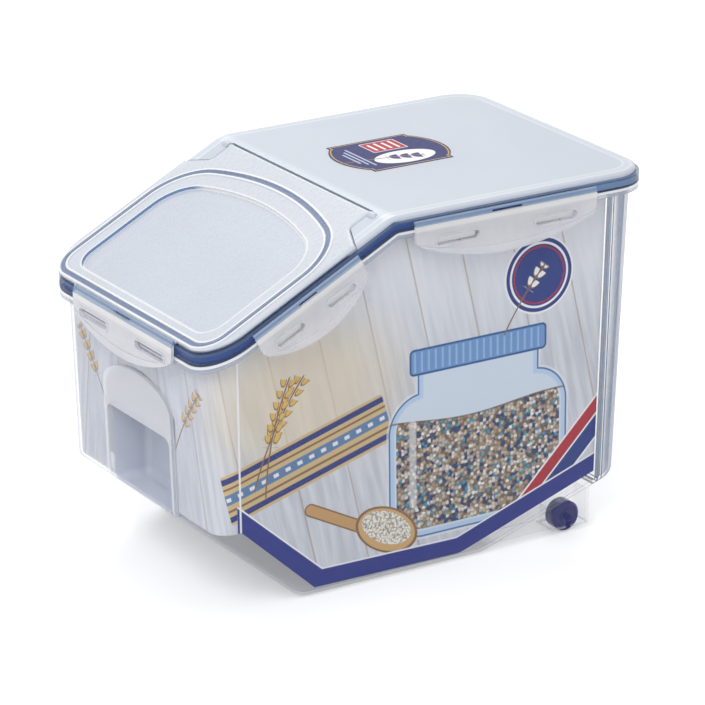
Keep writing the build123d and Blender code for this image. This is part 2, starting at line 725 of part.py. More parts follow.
front_plane, front_length, *_ = LATCHES["front_latch"]
with BuildPart() as flip_lid:
    add(flip_shell)
    top_edges = flip_lid.edges().filter_by(
        lambda e: abs(slope_height(e.center()) - FLIP_TOP) < 0.02 and e.center().Y < hinge_y - 2
    )
    fillet(top_edges, FLIP_EDGE_R)
    add(flip_room, mode=Mode.SUBTRACT)
    add(seal_ribs.part)
    add(top_ridges.part)
    add(top_groove.part, mode=Mode.SUBTRACT)
    add(flip_gasket.part, mode=Mode.SUBTRACT)
    add(recess_wall)
    add(plug_outer)
    add(plug_inner, mode=Mode.SUBTRACT)
    add(recess, mode=Mode.SUBTRACT)
    with BuildSketch(Plane.YZ.offset(-TONGUE_W / 2)):
        with Locations((hinge_y, hinge_z)):
            Circle(HINGE_BEAD_R)
    extrude(amount=TONGUE_W)
    with BuildSketch(Plane.YZ.offset(-TONGUE_W / 2 - PIN_LENGTH)):
        with Locations((hinge_y, hinge_z)):
            Circle(PIN_R)
    extrude(amount=TONGUE_W + 2 * PIN_LENGTH)
    with BuildSketch(Plane.YZ):
        with BuildLine():
            Polyline(
                (-HALF_L, FRONT_LATCH_Z - LEDGE_LOW),
                (-HALF_L + LEDGE_DEPTH, FRONT_LATCH_Z - LEDGE_LOW),
                (-HALF_L + LEDGE_DEPTH, FRONT_LATCH_Z + LEDGE_HIGH),
                (-HALF_L, FRONT_LATCH_Z + LEDGE_HIGH - 1.0),
                close=True,
            )
        make_face()
    extrude(amount=front_length / 2 + 2, both=True)
    with BuildSketch(latch_end(front_plane, front_length)):
        Circle(BEAD_R + BEAD_GAP)
    extrude(amount=front_length + 2 * BEAD_END_GAP, mode=Mode.SUBTRACT)
flip_lid.part.label = "flip_lid"
export_step(flip_lid.part, "parts/flip_lid.step")

# ---- latches ----------------------------------------------------------------------

latches = []
for name, place in LATCHES.items():
    latch = build_latch(*place)
    latch.label = name
    export_step(latch, f"parts/{name}.step")
    latches.append(latch)

made = (container, right_wheel, left_wheel, insert_card, main_gasket, main_lid, lid_label)
pieces = [piece.part for piece in (*made, flip_lid, flip_gasket)] + latches
for piece in pieces:
    print(piece.label, piece.is_valid, round(piece.volume), len(piece.solids()))
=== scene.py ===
import bpy
import json
import math
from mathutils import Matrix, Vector

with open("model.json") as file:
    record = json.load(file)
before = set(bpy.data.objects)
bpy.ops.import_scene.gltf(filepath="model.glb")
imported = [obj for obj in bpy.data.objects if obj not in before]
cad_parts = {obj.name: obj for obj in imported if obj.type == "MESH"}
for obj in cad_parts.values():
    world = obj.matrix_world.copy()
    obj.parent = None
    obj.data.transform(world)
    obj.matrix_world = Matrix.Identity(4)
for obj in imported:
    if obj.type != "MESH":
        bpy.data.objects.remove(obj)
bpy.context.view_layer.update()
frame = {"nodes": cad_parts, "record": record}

# Rice bin with a flip lid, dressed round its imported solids. Metres, +Z up, front towards -Y.

# ---- sizes that the finishes share with the solids ---------------------------

MM = 0.001
RIM_Z = 235.8 * MM
BEND_Y = -31.2 * MM
SLOPE = 0.47168
HALF_W = 106.0 * MM
HALF_L = 164.7 * MM
RIM_R = 27.5 * MM
HINGE_HEIGHT = 4.0 * MM
FRONT_LATCH_LIFT = 4.5 * MM
FRONT_LATCH_Y = -164.0 * MM
CARD_CORNER = 90.0 * MM

# The card's arched opening in the front wall, and the grip recess that it frames
ARCH_HALF_W = 43.0 * MM
ARCH_SIDE_Z = 118.0 * MM
ARCH_RISE = 19.0 * MM
FRONT_WALL_Y = -150.0 * MM
GRIP_HALF_W = 43.5 * MM
GRIP_Y = (-151.0 * MM, -122.0 * MM)
GRIP_Z = (45.0 * MM, 108.0 * MM)

# The container behind the card's rear edge, where the wall is bare
BARE_WALL_Y = 138.0 * MM
CORNER_Y = 153.0 * MM
SIDE_WALL_X = 88.0 * MM
CORNER_X = 91.0 * MM
CARD_EDGES_Y = ((132.6 * MM, 134.4 * MM), (136.0 * MM, 137.0 * MM))
LUG_X = 101.5 * MM
LUG_Y = 160.2 * MM
FOOT_Z = 4.2 * MM

# Heights off the rim line, and the width of the rim's outer edge, inwards
FLANGE_LOW = -4.6 * MM
FLANGE_FACE = -1.9 * MM
SKIRT_END = 1.3 * MM
BAND_TOP = 5.2 * MM
SKIRT_TOP = 6.3 * MM
LID_SIDE_TOP = 7.4 * MM
FLIP_SIDE_LOW = 7.9 * MM
FLIP_SIDE_TOP = 8.6 * MM
OUTER_EDGE = 4.0 * MM
REAR_BAND_Y = 104.0 * MM
TONGUE_END = 34.0 * MM

# The flip lid's D-shaped outlines on the slope: half width, front, back, front and back radius
SEAL_LINE = (95.8 * MM, 141.6 * MM, 15.7 * MM, 16.3 * MM, 40.3 * MM)
RECESS_LINE = (83.5 * MM, 133.0 * MM, 31.0 * MM, 14.0 * MM, 30.0 * MM)
ARCH_R = 229.0 * MM

# ---- colours, as they look ------------------------------------------------------


def paint(code):
    """A colour written as it looks on screen, turned to the light it reflects."""
    shares = [int(code[place:place + 2], 16) / 255 for place in (1, 3, 5)]
    return tuple(c / 12.92 if c <= 0.04045 else ((c + 0.055) / 1.055) ** 2.4 for c in shares)


WHITE = paint("#F2F3F5")
NAVY = paint("#233A85")
DEEP_NAVY = paint("#1A1F62")
STEEL_BLUE = paint("#4F7BAE")
PALE_BLUE = paint("#BCD3EE")
RED = paint("#B32A38")
SAND = paint("#D9C08F")
BROWN = paint("#8A6A4B")

# ---- finishes ----------------------------------------------------------------


class Reading:
    """A number that varies over a surface, worked out by small nodes."""

    def __init__(self, finish, socket):
        self.finish = finish
        self.socket = socket

    def maths(self, operation, *others):
        return self.finish.maths(operation, self, *others)

    def __add__(self, other):
        return self.maths("ADD", other)

    def __radd__(self, other):
        return self.maths("ADD", other)

    def __sub__(self, other):
        return self.maths("SUBTRACT", other)

    def __rsub__(self, other):
        return self.finish.maths("SUBTRACT", other, self)

    def __mul__(self, other):
        return self.maths("MULTIPLY", other)

    def __rmul__(self, other):
        return self.maths("MULTIPLY", other)

    def __truediv__(self, other):
        return self.maths("DIVIDE", other)

    def __pow__(self, other):
        return self.maths("POWER", other)

    def __abs__(self):
        return self.maths("ABSOLUTE")

    def least(self, other):
        return self.maths("MINIMUM", other)

    def most(self, other):
        return self.maths("MAXIMUM", other)

    def above(self, limit, soft=0.2 * MM):
        """1 where the reading is over a limit, 0 under it."""
        return self.spread(limit - soft, limit + soft, 0.0, 1.0)

    def below(self, limit, soft=0.2 * MM):
        """1 where the reading is under a limit, 0 over it."""
        return self.spread(limit - soft, limit + soft, 1.0, 0.0)

    def between(self, low, high, soft=0.2 * MM):
        return self.above(low, soft) * self.below(high, soft)

    def spread(self, low, high, out_low, out_high):
        """The reading's range from low to high, eased onto another range."""
        made = self.finish.node("MapRange", {"interpolation_type": "SMOOTHSTEP"}, Value=self)
        limits = (("From Min", low), ("From Max", high), ("To Min", out_low), ("To Max", out_high))
        for name, value in limits:
            made.inputs[name].default_value = value
        return Reading(self.finish, made.outputs[0])


class Finish:
    """One material, built up from small nodes on the piece's own coordinates."""

    def __init__(self, name, colour, roughness, **sockets):
        self.material = bpy.data.materials.new(name)
        self.material.use_nodes = True
        self.tree = self.material.node_tree
        self.shader = self.tree.nodes["Principled BSDF"]
        coordinates = self.node("TexCoord").outputs
        self.place = coordinates["Object"]
        self.x, self.y, self.z = self.parts(self.place)
        self.normal = self.parts(coordinates["Normal"])
        self.set("Base Color", colour)
        self.set("Roughness", roughness)
        for socket, value in sockets.items():
            self.set(socket.replace("_", " "), value)

    def node(self, kind, settings=(), **inputs):
        made = self.tree.nodes.new("ShaderNode" + kind)
        for name, value in dict(settings).items():
            setattr(made, name, value)
        for name, value in inputs.items():
            self.feed(made.inputs[name.replace("_", " ")], value)
        return made

    def parts(self, vector):
        made = self.node("SeparateXYZ", Vector=vector)
        return [Reading(self, socket) for socket in made.outputs]

    def feed(self, socket, value):
        if isinstance(value, Reading):
            value = value.socket
        if isinstance(value, bpy.types.NodeSocket):
            self.tree.links.new(value, socket)
        elif socket.type == "RGBA" and len(value) == 3:
            socket.default_value = (*value, 1.0)
        else:
            socket.default_value = value

    def set(self, socket, value):
        self.feed(self.shader.inputs[socket], value)

    def maths(self, operation, *values):
        made = self.node("Math", {"operation": operation})
        for socket, value in zip(made.inputs, values):
            self.feed(socket, value)
        return Reading(self, made.outputs[0])

    def blend(self, share, under, over):
        """The colour under, covered by the colour over where the share is 1."""
        made = self.node("Mix", {"data_type": "RGBA"})
        self.feed(made.inputs[0], share)
        self.feed(made.inputs[6], under)
        self.feed(made.inputs[7], over)
        return made.outputs[2]

    def pick(self, share, under, over):
        """The same for two numbers."""
        made = self.node("Mix", {"data_type": "FLOAT"})
        self.feed(made.inputs[0], share)
        self.feed(made.inputs[2], under)
        self.feed(made.inputs[3], over)
        return Reading(self, made.outputs[0])

    def coat(self, tone, cover, zones):
        """Zones painted over each other: where each lies, its colour and how well it covers."""
        for share, colour, solid in zones:
            tone = self.blend(share, tone, colour)
            if solid is not None:
                cover = self.pick(share, cover, solid)
        self.set("Base Color", tone)
        self.set("Alpha", cover)

    def flat_place(self, across, up):
        return self.node("CombineXYZ", X=across, Y=up).outputs[0]

    def noise(self, scale, detail=2.0, stretch=(1, 1, 1), place=None):
        mapped = self.node("Mapping", (), Vector=place or self.place, Scale=stretch)
        made = self.node("TexNoise", (), Vector=mapped.outputs[0], Scale=scale, Detail=detail)
        return Reading(self, made.outputs[0])

    def mottle(self, low, high, scale, detail=2.0):
        """A number that drifts between two values."""
        return self.noise(scale, detail).spread(0.25, 0.75, low, high)

    def bump(self, height, distance, strength=0.3):
        made = self.node("Bump", (), Height=height, Distance=distance, Strength=strength)
        self.set("Normal", made.outputs[0])

    def edge(self, blend=0.5):
        """How far the surface turns away, 0 face on and 1 at its outline."""
        return Reading(self, self.node("LayerWeight", (), Blend=blend).outputs["Facing"])

    def rim_height(self):
        """Height off the rim line, which is level and then slopes to the front."""
        rise = self.z - RIM_Z
        on_slope = rise * math.cos(SLOPE) - (self.y - BEND_Y) * math.sin(SLOPE)
        return rise.most(on_slope)

    def down_slope(self):
        return (BEND_Y - self.y) * math.cos(SLOPE) + (RIM_Z - self.z) * math.sin(SLOPE)

    def from_rim(self):
        """How far inside the rim's rounded plan a point lies."""
        beyond_x = abs(self.x) - (HALF_W - RIM_R)
        beyond_y = abs(self.y) - (HALF_L - RIM_R)
        return RIM_R - self.rounded(beyond_x, beyond_y)

    def rounded(self, across, along):
        """Distance past a rounded corner whose centre is where both readings are 0."""
        reach = (across.most(0.0) ** 2 + along.most(0.0) ** 2) ** 0.5
        return reach + across.most(along).least(0.0)

    def arch_distance(self, half, front, back, front_r, back_r):
        """Distance outside a D-shaped outline that lies on the slope."""
        across = abs(self.x)
        down = self.down_slope()
        box = self.rounded(across - (half - front_r), down - (front - front_r)) - front_r
        middle = back + ARCH_R
        arc = (across ** 2 + (middle - down) ** 2) ** 0.5 - ARCH_R
        corner_x = half - back_r
        corner_s = middle - math.sqrt((ARCH_R - back_r) ** 2 - corner_x ** 2)
        corner = ((across - corner_x) ** 2 + (down - corner_s) ** 2) ** 0.5 - back_r
        lean = corner_x / (middle - corner_s)
        turned = (across - (middle - down) * lean).above(0.0, 0.01 * MM)
        behind = down.below(corner_s, 0.01 * MM)
        return self.pick(behind, box, self.pick(turned, arc, corner))


def clear_plastic():
    """Clear moulded wall: almost gone face on, blue-grey where it is deep, white at its flange."""
    finish = Finish("clear_plastic", WHITE, 0.08)
    across, along = abs(finish.x), abs(finish.y)
    height = finish.rim_height()
    deep = finish.edge(0.4) ** 1.9
    refraction_streak = finish.noise(30.0, 3.0, (3.0, 3.0, 0.12)).spread(0.4, 0.62, 0.0, 1.0)

    bare = finish.y.above(BARE_WALL_Y, 4.0 * MM) * finish.z.above(12.0 * MM, 8.0 * MM)
    bare = bare * across.above(SIDE_WALL_X, 3.0 * MM)
    first_edge, second_edge = [finish.y.between(*edge) for edge in CARD_EDGES_Y]
    corner = finish.y.above(CORNER_Y, 2.5 * MM) * across.above(CORNER_X, 3.0 * MM)
    line = first_edge.most(second_edge).most(corner) * finish.z.above(24.0 * MM, 8.0 * MM)

    arch_top = ((1.0 - (across / ARCH_HALF_W) ** 2).most(0.0) ** 0.5) * ARCH_RISE + ARCH_SIDE_Z
    arch = (arch_top - finish.z).above(0.0) * across.below(ARCH_HALF_W)
    arch = arch * finish.y.below(FRONT_WALL_Y)
    pocket = finish.y.between(*GRIP_Y) * finish.z.between(*GRIP_Z) * across.below(GRIP_HALF_W)
    lug_painted_lit = across.above(LUG_X).most(along.above(LUG_Y)) * height.below(FLANGE_LOW)

    finish.coat(
        finish.blend(deep, paint("#D7DAE4"), paint("#7189AE")),
        deep.spread(0.0, 1.0, 0.025, 0.8),
        (
            # painted refraction: blue streaks over the bare wall behind the card's rear edge
            (bare, finish.blend(refraction_streak, paint("#7A86A4"), paint("#4A6E94")),
             deep.spread(0.0, 1.0, 0.4, 0.85) + refraction_streak * 0.15),
            # painted refraction: steel-blue lines at the card's two edges and at the rear corner
            (line, paint("#2F587F"), 0.8),
            (arch, paint("#EAEDF3"), 0.5),
            (finish.z.below(FOOT_Z, 0.6 * MM), paint("#D8DAE0"), 0.3),
            (pocket, paint("#D3D8E5"), 0.8),
            (height.above(FLANGE_LOW), paint("#AEB6C6"), 0.5),
            (height.above(FLANGE_FACE), paint("#F1F6FB"), 0.8),
            # painted light: the lugs are painted pale and nearly opaque, so they look lit behind the
            # latch slots instead of shaded
            (lug_painted_lit, paint("#E9EAEC"), 0.88),
        ),
    )
    finish.set("Roughness", finish.mottle(0.05, 0.14, 30.0))
    finish.bump(finish.noise(18.0), 0.4 * MM, 0.15)
    return finish.material


def frosted_plastic():
    """The lid: frosted on top, clear in its skirt so that the gasket shows."""
    finish = Finish("frosted_plastic", WHITE, 0.35)
    height = finish.rim_height()
    inset = finish.from_rim()
    outer = inset.below(OUTER_EDGE)
    skirt = height.below(6.4 * MM, 0.5 * MM) * outer
    rear = finish.y.above(REAR_BAND_Y, 6.0 * MM)
    band = finish.blend(rear, paint("#4063A8"), paint("#7898C4"))
    band_cover = finish.pick(rear, 0.3, 0.6)
    painted_highlight = paint("#F6F8FB")
    shaded_outline = finish.edge(0.5).above(0.9, 0.06)

    finish.coat(
        finish.blend(finish.noise(9.0, 3.0), paint("#C3CBD7"), paint("#CFD6E0")),
        finish.pick(skirt, 0.9, band_cover),
        (
            (inset.below(9.0 * MM, 4.0 * MM), paint("#D3D9E4"), None),
            # painted highlights: two pale bands just inside the rim
            (inset.between(9.6 * MM, 11.2 * MM, 0.8 * MM) * 0.4, painted_highlight, None),
            (inset.between(4.6 * MM, 6.0 * MM, 0.8 * MM) * 0.3, painted_highlight, None),
            # painted shade: a darker blue line where the lid turns away at its outline
            (shaded_outline * 0.6, paint("#7C90B2"), None),
            (height.below(LID_SIDE_TOP) * outer, paint("#D6E1F3"), None),
            (height.below(SKIRT_TOP) * outer, paint("#4E6890"), 0.6),
            (height.below(BAND_TOP) * outer, band, band_cover),
            (height.below(SKIRT_END) * outer, paint("#1B2E54"), 0.65),
        ),
    )
    finish.set("Roughness", finish.mottle(0.28, 0.42, 900.0, 1.0))
    finish.bump(finish.noise(1400.0, 2.0), 0.2 * MM, 0.12)
    return finish.material


def flip_plastic():
    """The flip lid: thinner frosted plastic, with the seal showing as a blue line."""
    finish = Finish("flip_plastic", WHITE, 0.3)
    height = finish.rim_height()
    outer = finish.from_rim().below(OUTER_EDGE)
    side = height.below(FLIP_SIDE_TOP, 0.3 * MM) * outer
    low = height.below(FLIP_SIDE_LOW, 0.3 * MM) * outer
    low = low * finish.down_slope().above(TONGUE_END, 2.0 * MM)
    ring = finish.arch_distance(*SEAL_LINE)
    line = abs(ring).below(1.6 * MM, 0.35 * MM)
    recess = finish.arch_distance(*RECESS_LINE)
    shaded_left_wall = finish.normal[0].spread(0.2, 0.6, 0.0, 1.0) * recess.between(-5.0 * MM, 0.5 * MM)

    finish.coat(
        finish.blend(finish.noise(11.0, 3.0), paint("#D3D9E3"), paint("#DCE1EA")),
        finish.pick(side, finish.mottle(0.82, 0.87, 16.0, 3.0), 0.5),
        (
            (recess.below(-1.0 * MM, 0.8 * MM), paint("#D2D8E3"), None),
            # painted highlight: a white line along the recess's edge
            (abs(recess).below(1.2 * MM, 0.6 * MM) * 0.8, paint("#FAFBFD"), None),
            # painted shade: the recess wall that faces right is painted steel blue
            (shaded_left_wall, paint("#7395C2"), None),
            # painted highlights: white lines on both sides of the seal line
            (abs(ring).between(1.9 * MM, 3.3 * MM, 0.3 * MM), paint("#FBFCFE"), None),
            (line, paint("#93A5C6"), 0.66),
            # painted shade: the side walls are painted darker blue, and their lower edge dark navy,
            # for the gap between the flip lid and the main lid
            (side, paint("#C6D5EA"), None),
            (low, paint("#2C4066"), 0.75),
        ),
    )
    finish.set("Roughness", finish.mottle(0.24, 0.32, 300.0, 1.0))
    finish.bump(finish.noise(1400.0, 2.0), 0.05 * MM, 0.05)
    return finish.material


def latch_plastic():
    """Milky plastic of the latches, clear and thin along the hinge."""
    finish = Finish("latch_plastic", WHITE, 0.18)
    on_front = finish.y.below(FRONT_LATCH_Y)
    height = finish.rim_height() - on_front * FRONT_LATCH_LIFT
    strip = height.above(HINGE_HEIGHT - 2.1 * MM, 0.15 * MM)
    cloud = finish.noise(42.0, 3.0)
    milk = finish.blend(cloud, paint("#DCDCE4"), paint("#ECECF0"))
    # painted highlight: a near-white band along the latch's top edge
    milk = finish.blend(height.between(-1.6 * MM, 1.9 * MM, 1.0 * MM), milk, paint("#FDFDFC"))
    blue = finish.blend(height.above(HINGE_HEIGHT + 0.5 * MM), paint("#9DB8DC"), paint("#C9DAF0"))
    finish.set("Base Color", finish.blend(strip, milk, blue))
    turned = finish.edge(0.5) ** 1.5
    cover = turned.spread(0.0, 1.0, 0.54, 0.9) + (cloud - 0.5) * 0.16
    finish.set("Alpha", finish.pick(strip, cover, 0.42))
    finish.set("Roughness", finish.mottle(0.12, 0.26, 60.0, 3.0))
    finish.bump(finish.noise(90.0, 2.0), 0.3 * MM, 0.2)
    return finish.material


def silicone(name, light, dark):
    """Soft silicone with a faint bloom, darker towards its legs' tips."""
    finish = Finish(name, light, 0.4)
    low = finish.rim_height().below(1.3 * MM, 0.4 * MM)
    tone = finish.blend(finish.noise(120.0, 3.0), dark, light)
    finish.set("Base Color", finish.blend(low * 0.7, tone, paint("#1A2A50")))
    finish.set("Roughness", finish.mottle(0.3, 0.45, 300.0))
    finish.bump(finish.noise(700.0, 2.0), 0.1 * MM, 0.3)
    return finish.material


def wheel_plastic():
    """Glossy dark blue moulding with fine turning marks."""
    finish = Finish("wheel_plastic", NAVY, 0.2, Specular_IOR_Level=0.3)
    cloud = finish.noise(200.0)
    finish.set("Base Color", finish.blend(cloud, paint("#191860"), paint("#26247A")))
    finish.set("Roughness", finish.mottle(0.12, 0.26, 200.0))
    finish.bump(finish.noise(500.0), 0.1 * MM, 0.2)
    return finish.material


# ---- the card's generic print: a jar of mixed grain on pale boards -----------------


class Print:
    """A finish with a flat place on it, in which printed shapes are laid over each other."""

    def __init__(self, finish, across, up, ground):
        self.finish = finish
        self.across = across
        self.up = up
        self.tone = ground

    def lay(self, share, colour):
        self.tone = self.finish.blend(share, self.tone, colour)

    def turned(self, across, up, degrees):
        """The flat place, centred on a point and turned."""
        cos, sin = math.cos(math.radians(degrees)), math.sin(math.radians(degrees))
        off_a, off_u = self.across - across, self.up - up
        return off_a * cos + off_u * sin, off_u * cos - off_a * sin

    def disc(self, across, up, radius):
        """Distance outside a circle."""
        return ((self.across - across) ** 2 + (self.up - up) ** 2) ** 0.5 - radius

    def block(self, across, up, half_w, half_h, radius, degrees=0.0):
        """Distance outside a rounded block."""
        along, over = self.turned(across, up, degrees)
        beyond_a = abs(along) - (half_w - radius)
        beyond_u = abs(over) - (half_h - radius)
        return self.finish.rounded(beyond_a, beyond_u) - radius

    def oval(self, across, up, half_w, half_h, degrees=0.0):
        """Rough distance outside an oval."""
        along, over = self.turned(across, up, degrees)
        reach = ((along / half_w) ** 2 + (over / half_h) ** 2) ** 0.5
        return (reach - 1.0) * min(half_w, half_h)

    def outlined(self, shape, fill, line, thickness):
        """A filled shape with a line just inside its edge."""
        self.lay(shape.below(0.0), fill)
        self.lay(shape.between(-thickness, 0.0), line)

    def speckle(self, shape, scale, tones):
        """A shape filled with small grains of several colours."""
        finish = self.finish
        flat = finish.flat_place(self.across, self.up)
        grains = finish.node("TexVoronoi", {"voronoi_dimensions": "2D"}, Vector=flat, Scale=scale)
        grain = Reading(finish, finish.node("SeparateColor", Color=grains.outputs["Color"]).outputs[0])
        rim = Reading(finish, grains.outputs["Distance"])
        colour = tones[0][1]
        for start, tone in tones[1:]:
            colour = finish.blend(grain.above(start, 0.01), colour, tone)
        colour = finish.blend(rim.above(0.5, 0.12) * 0.55, colour, paint("#4A443F"))
        self.lay(shape.below(0.0), colour)


MIXED_GRAIN = (
    (0.0, paint("#A89480")), (0.2, paint("#C6B8A6")), (0.42, paint("#E2DCD4")),
    (0.58, paint("#2E4576")), (0.72, paint("#8A6F58")), (0.82, paint("#4E9AB4")),
    (0.9, paint("#57606E")), (0.96, paint("#F3F1EC")),
)
WHITE_GRAIN = ((0.0, paint("#E9E4DA")), (0.4, paint("#F6F3EC")), (0.8, paint("#D5CBBB")))

# The card's lower edge: three straight runs, each from one point to the next, in millimetres
CARD_RUNS = (
    ((-135.0, 54.5), (-81.0, 5.0)),
    ((-81.0, 5.0), (27.0, 3.6)),
    ((27.0, 3.6), (132.0, 39.5)),
)
BAND_W = 11.5 * MM
EAR_BEND = 2.4
BAND_LINE = 1.1 * MM


def planks(finish, across, up):
    """Pale boards that lean a little, with thin joints and a faint grain."""
    leaning = across + up * 0.22
    board = (leaning / (38.0 * MM)).maths("FRACT")
    joint = abs(board - 0.5).above(0.485, 0.008)
    flat = finish.flat_place(leaning, up)
    grain = finish.noise(24.0, 6.0, (9.0, 0.8, 1.0), flat)
    tone = finish.blend(grain.spread(0.3, 0.7, 0.0, 1.0), paint("#C3C8D2"), paint("#DCDFE6"))
    tone = finish.blend(up.spread(0.12, 0.21, 0.0, 0.7), tone, paint("#E9ECF1"))
    return finish.blend(joint * 0.55, tone, paint("#A08D78"))


def lay_cloth(art):
    """A striped cloth that lies across the boards."""
    along, over = art.turned(-86 * MM, 94 * MM, 16.0)
    cloth = art.block(-86 * MM, 94 * MM, 62 * MM, 17 * MM, 2 * MM, 16.0)
    inside = cloth.below(0.0)
    art.lay(inside, SAND)
    for start, end, tone in ((-15, -11, NAVY), (-8, -6.4, BROWN), (-3, 4, paint("#5F86B5")),
                             (7, 8.4, BROWN), (11, 15, NAVY)):
        art.lay(inside * over.between(start * MM, end * MM), tone)
    dash = (along / (9.0 * MM)).maths("FRACT").between(0.2, 0.62, 0.03)
    art.lay(inside * dash * over.between(-0.8 * MM, 1.8 * MM), WHITE)
    thread = (along / (1.3 * MM)).maths("FRACT").above(0.6, 0.2)
    art.lay(inside * thread * 0.22, paint("#6B5B48"))


def lay_jar(art):
    """A wide glass jar with a blue lid, full of mixed grain."""
    body = art.block(42 * MM, 72 * MM, 68 * MM, 50 * MM, 26 * MM)
    neck = art.block(42 * MM, 124 * MM, 46 * MM, 14 * MM, 5 * MM)
    glass = body.least(neck)
    art.lay(glass.below(1.6 * MM, 0.5 * MM) * 0.5, WHITE)
    art.outlined(glass, paint("#D5E1EF"), PALE_BLUE, 4.2 * MM)
    art.lay(glass.between(-1.2 * MM, 0.0), STEEL_BLUE)
    swell = (art.across * 46.0).maths("SINE") * (2.6 * MM)
    level = art.up + swell - 108 * MM
    art.speckle(glass.most(level) + 5.6 * MM, 420.0, MIXED_GRAIN)
    art.lay(glass.most(abs(level + 6 * MM) - 0.8 * MM).below(-0.1 * MM) * 0.7, paint("#6B5A4B"))
    lid = art.block(42 * MM, 143 * MM, 52 * MM, 9 * MM, 3.5 * MM)
    art.outlined(lid, paint("#6F9BD0"), paint("#2F5C94"), 1.4 * MM)
    rib = (art.across / (5.2 * MM)).maths("FRACT").above(0.72, 0.1)
    art.lay(rib * lid.below(-2.2 * MM) * 0.5, PALE_BLUE)
    shine = art.block(-8 * MM, 74 * MM, 2.6 * MM, 30 * MM, 2.6 * MM)
    art.lay(shine.below(0.0, 0.8 * MM) * 0.5, WHITE)


def lay_scoop(art):
    """A wooden scoop of white grain in front of the jar."""
    handle = art.block(-58 * MM, 45 * MM, 34 * MM, 4.4 * MM, 4.4 * MM, 152.0)
    art.outlined(handle, paint("#C79F6C"), BROWN, 1.0 * MM)
    cup = art.oval(-28 * MM, 33 * MM, 25 * MM, 15 * MM, 152.0)
    art.outlined(cup, paint("#D3AD79"), BROWN, 1.3 * MM)
    heap = art.oval(-28 * MM, 34.5 * MM, 20 * MM, 10.5 * MM, 152.0)
    art.speckle(heap, 620.0, WHITE_GRAIN)


def lay_ear(art, across, up, degrees, length, half_w, tone):
    """One ear: a bent stem with grains set in pairs along it."""
    along, over = art.turned(across, up, degrees)
    bent = over + along ** 2 * EAR_BEND
    pitch = 7.4 * MM
    step = (along / pitch).maths("FRACT") - 0.5
    reach = along.between(0.0, length, 1.0 * MM)
    lean = step * pitch - abs(bent) * 0.85
    grain = ((lean / (3.4 * MM)) ** 2 + ((abs(bent) - half_w) / (2.1 * MM)) ** 2) ** 0.5
    stem = abs(bent).below(0.55 * MM) * along.between(-34 * MM, length, 1.0 * MM)
    art.lay(stem, BROWN)
    art.lay(grain.below(1.25, 0.12) * reach, BROWN)
    art.lay(grain.below(0.98, 0.1) * reach, tone)


def lay_medallion(art):
    """A plain round medallion with an ear on it."""
    disc = art.disc(88 * MM, 185 * MM, 25 * MM)
    art.lay(disc.below(1.4 * MM), WHITE)
    art.lay(disc.below(0.0), NAVY)
    art.lay(disc.between(-4.2 * MM, -2.6 * MM), WHITE)
    art.lay(disc.between(-6.4 * MM, -5.4 * MM), RED)
    lay_ear(art, 80 * MM, 177 * MM, 52.0, 19 * MM, 2.6 * MM, WHITE)


def lay_ribbon(art):
    """A corner ribbon in red, white and blue."""
    run = (art.across - art.up) * math.sqrt(0.5)
    for low, high, tone in ((28, 50, WHITE), (29.4, 37, RED), (38.2, 48.6, NAVY)):
        art.lay(run.between(low * MM, high * MM), tone)


def lay_lower_band(art):
    """The navy band and white line that follow the card's lower edge."""
    reach = None
    for (start_a, start_u), (end_a, end_u) in CARD_RUNS:
        run_a, run_u = end_a - start_a, end_u - start_u
        size = math.hypot(run_a, run_u)
        off = (art.up - start_u * MM) * (run_a / size) - (art.across - start_a * MM) * (run_u / size)
        reach = off if reach is None else reach.least(off)
    side = art.across.above(-137.0 * MM)
    art.lay(reach.below(BAND_W + BAND_LINE) * side, WHITE)
    art.lay(reach.below(BAND_W) * side, paint("#28348A"))
    art.lay(art.across.between(-135.4 * MM, -134.0 * MM), WHITE)


def printed_card():
    """Card printed outside with a generic grain picture, plain white board inside."""
    finish = Finish("printed_card", WHITE, 0.3, Specular_IOR_Level=0.15)
    across = finish.y + abs(finish.x) - CARD_CORNER
    art = Print(finish, across, finish.z, planks(finish, across, finish.z))
    warm = art.oval(-88 * MM, 138 * MM, 66 * MM, 44 * MM)
    art.lay(warm.below(0.0, 26 * MM) * 0.65, paint("#E3D3B4"))
    lay_cloth(art)
    for turn, up in ((64.0, 112.0), (78.0, 108.0)):
        lay_ear(art, -112 * MM, up * MM, turn, 46 * MM, 3.6 * MM, paint("#DDB966"))
    lay_ear(art, -190 * MM, 118 * MM, 58.0, 34 * MM, 3.2 * MM, paint("#D8B56A"))
    lay_jar(art)
    lay_scoop(art)
    lay_medallion(art)
    lay_ribbon(art)
    lay_lower_band(art)
    facing = finish.x * finish.normal[0] + finish.y * finish.normal[1]
    finish.set("Base Color", finish.blend(facing.above(0.0, 1.0 * MM), paint("#E9EAEC"), art.tone))
    finish.set("Roughness", finish.mottle(0.26, 0.38, 400.0))
    finish.bump(finish.noise(900.0, 3.0), 0.1 * MM, 0.15)
    return finish.material


